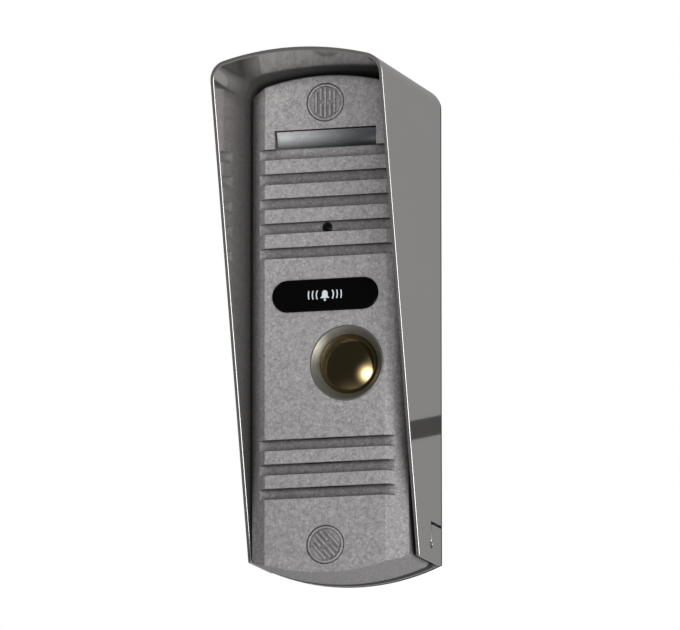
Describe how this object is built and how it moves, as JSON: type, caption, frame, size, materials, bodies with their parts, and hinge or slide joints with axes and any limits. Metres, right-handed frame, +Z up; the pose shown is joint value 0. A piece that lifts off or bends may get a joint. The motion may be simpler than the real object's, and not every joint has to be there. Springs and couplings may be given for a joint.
{
  "type": "video doorbell",
  "caption": "Narrow die-cast video doorbell with cross grooves, pinhole camera, night light, name plate and domed bell button, under a sheet-metal rain hood.",
  "frame": {"origin": "middle of the rear face that lies on the wall, level with the middle of the panel", "axes": "+X right as a visitor sees it, +Y into the wall, +Z up; the front faces -Y"},
  "size_m": [0.0434, 0.0524, 0.124],
  "materials": {
    "hood_metal": "satin, smooth rolled sheet",
    "cast_paint": "silver glitter paint on a zinc casting",
    "black_plastic": "fine moulded grain",
    "black_gloss": "polished acrylic",
    "clear_plastic": "moulded, glossy",
    "satin_nickel": "turned, satin nickel",
    "polished_brass": "polished",
    "rubber_black": "matt",
    "silicone_grey": "matt",
    "white_plastic": "moulded",
    "spring_steel": "drawn wire",
    "zinc_screw": "zinc plated",
    "board_green": "solder mask",
    "lens_glass": "coated",
    "sensor": "glass-covered die",
    "led_clear": "clear epoxy",
    "blue_plastic": "moulded",
    "paper_cone": "pressed paper",
    "tape": "double-sided foam tape",
    "aluminium_can": "satin"
  },
  "bodies": {
    "panel": {"front_housing": "cast_paint", "light_window": "clear_plastic", "led_holder": "white_plastic", "night_light_leds": "led_clear", "led_board": "board_green", "led_header": "black_plastic", "camera_board": "board_green", "camera_header": "black_plastic", "image_sensor": "sensor", "lens_holder": "black_plastic", "lens_barrel": "black_plastic", "front_lens": "lens_glass", "lens_gasket": "rubber_black", "name_plate": "black_gloss", "name_plate_tape": "tape", "top_cap": "cast_paint", "bottom_cap": "cast_paint", "button_bezel": "satin_nickel", "bezel_retaining_washer": "spring_steel", "switch_body": "black_plastic", "speaker_gasket": "rubber_black", "speaker_frame": "spring_steel", "speaker_cone": "paper_cone", "speaker_magnet": "spring_steel", "speaker_leads": "spring_steel", "microphone_boot": "rubber_black", "microphone": "aluminium_can", "main_board": "board_green", "board_chips": "black_plastic", "capacitors": "aluminium_can", "board_small_parts": "black_plastic", "wire_header": "white_plastic", "wire_header_pins": "zinc_screw", "volume_trimmer": "blue_plastic", "microphone_trimmer": "blue_plastic", "rear_cover": "black_plastic", "housing_seal": "rubber_black", "hood_shell": "hood_metal", "hood_back_plate": "hood_metal", "wall_gasket": "rubber_black", "cable_grommet": "rubber_black", "cover_screws": "zinc_screw", "board_screws": "zinc_screw", "mounting_screws": "zinc_screw", "clinch_nuts": "zinc_screw"},
    "button": {"button_dome": "polished_brass", "button_stem": "white_plastic", "button_seal": "silicone_grey", "button_spring": "spring_steel"},
    "switch_plunger": {"switch_plunger": "white_plastic"},
    "volume_rotor": {"volume_trimmer_rotor": "white_plastic"},
    "microphone_rotor": {"microphone_trimmer_rotor": "white_plastic"}
  },
  "joints": [
    {"name": "button_press", "type": "slide", "parent": "panel", "child": "button", "axis": [0, 1, 0], "range_m": [0, 0.0012], "stiffness_N_per_m": 350, "springref_m": -0.003, "deforming": ["button_spring"]},
    {"name": "switch_travel", "type": "slide", "parent": "panel", "child": "switch_plunger", "axis": [0, 1, 0], "range_m": [0, 0.0012]},
    {"name": "volume_turn", "type": "hinge", "parent": "panel", "child": "volume_rotor", "pos_m": [-0.008, -0.0092, 0.012], "axis": [0, 1, 0], "range_deg": [-130, 130]},
    {"name": "microphone_turn", "type": "hinge", "parent": "panel", "child": "microphone_rotor", "pos_m": [0.008, -0.0092, 0.012], "axis": [0, 1, 0], "range_deg": [-130, 130]}
  ],
  "couplings": [
    {"joint": "switch_travel", "follows": "button_press", "ratio": 1}
  ]
}
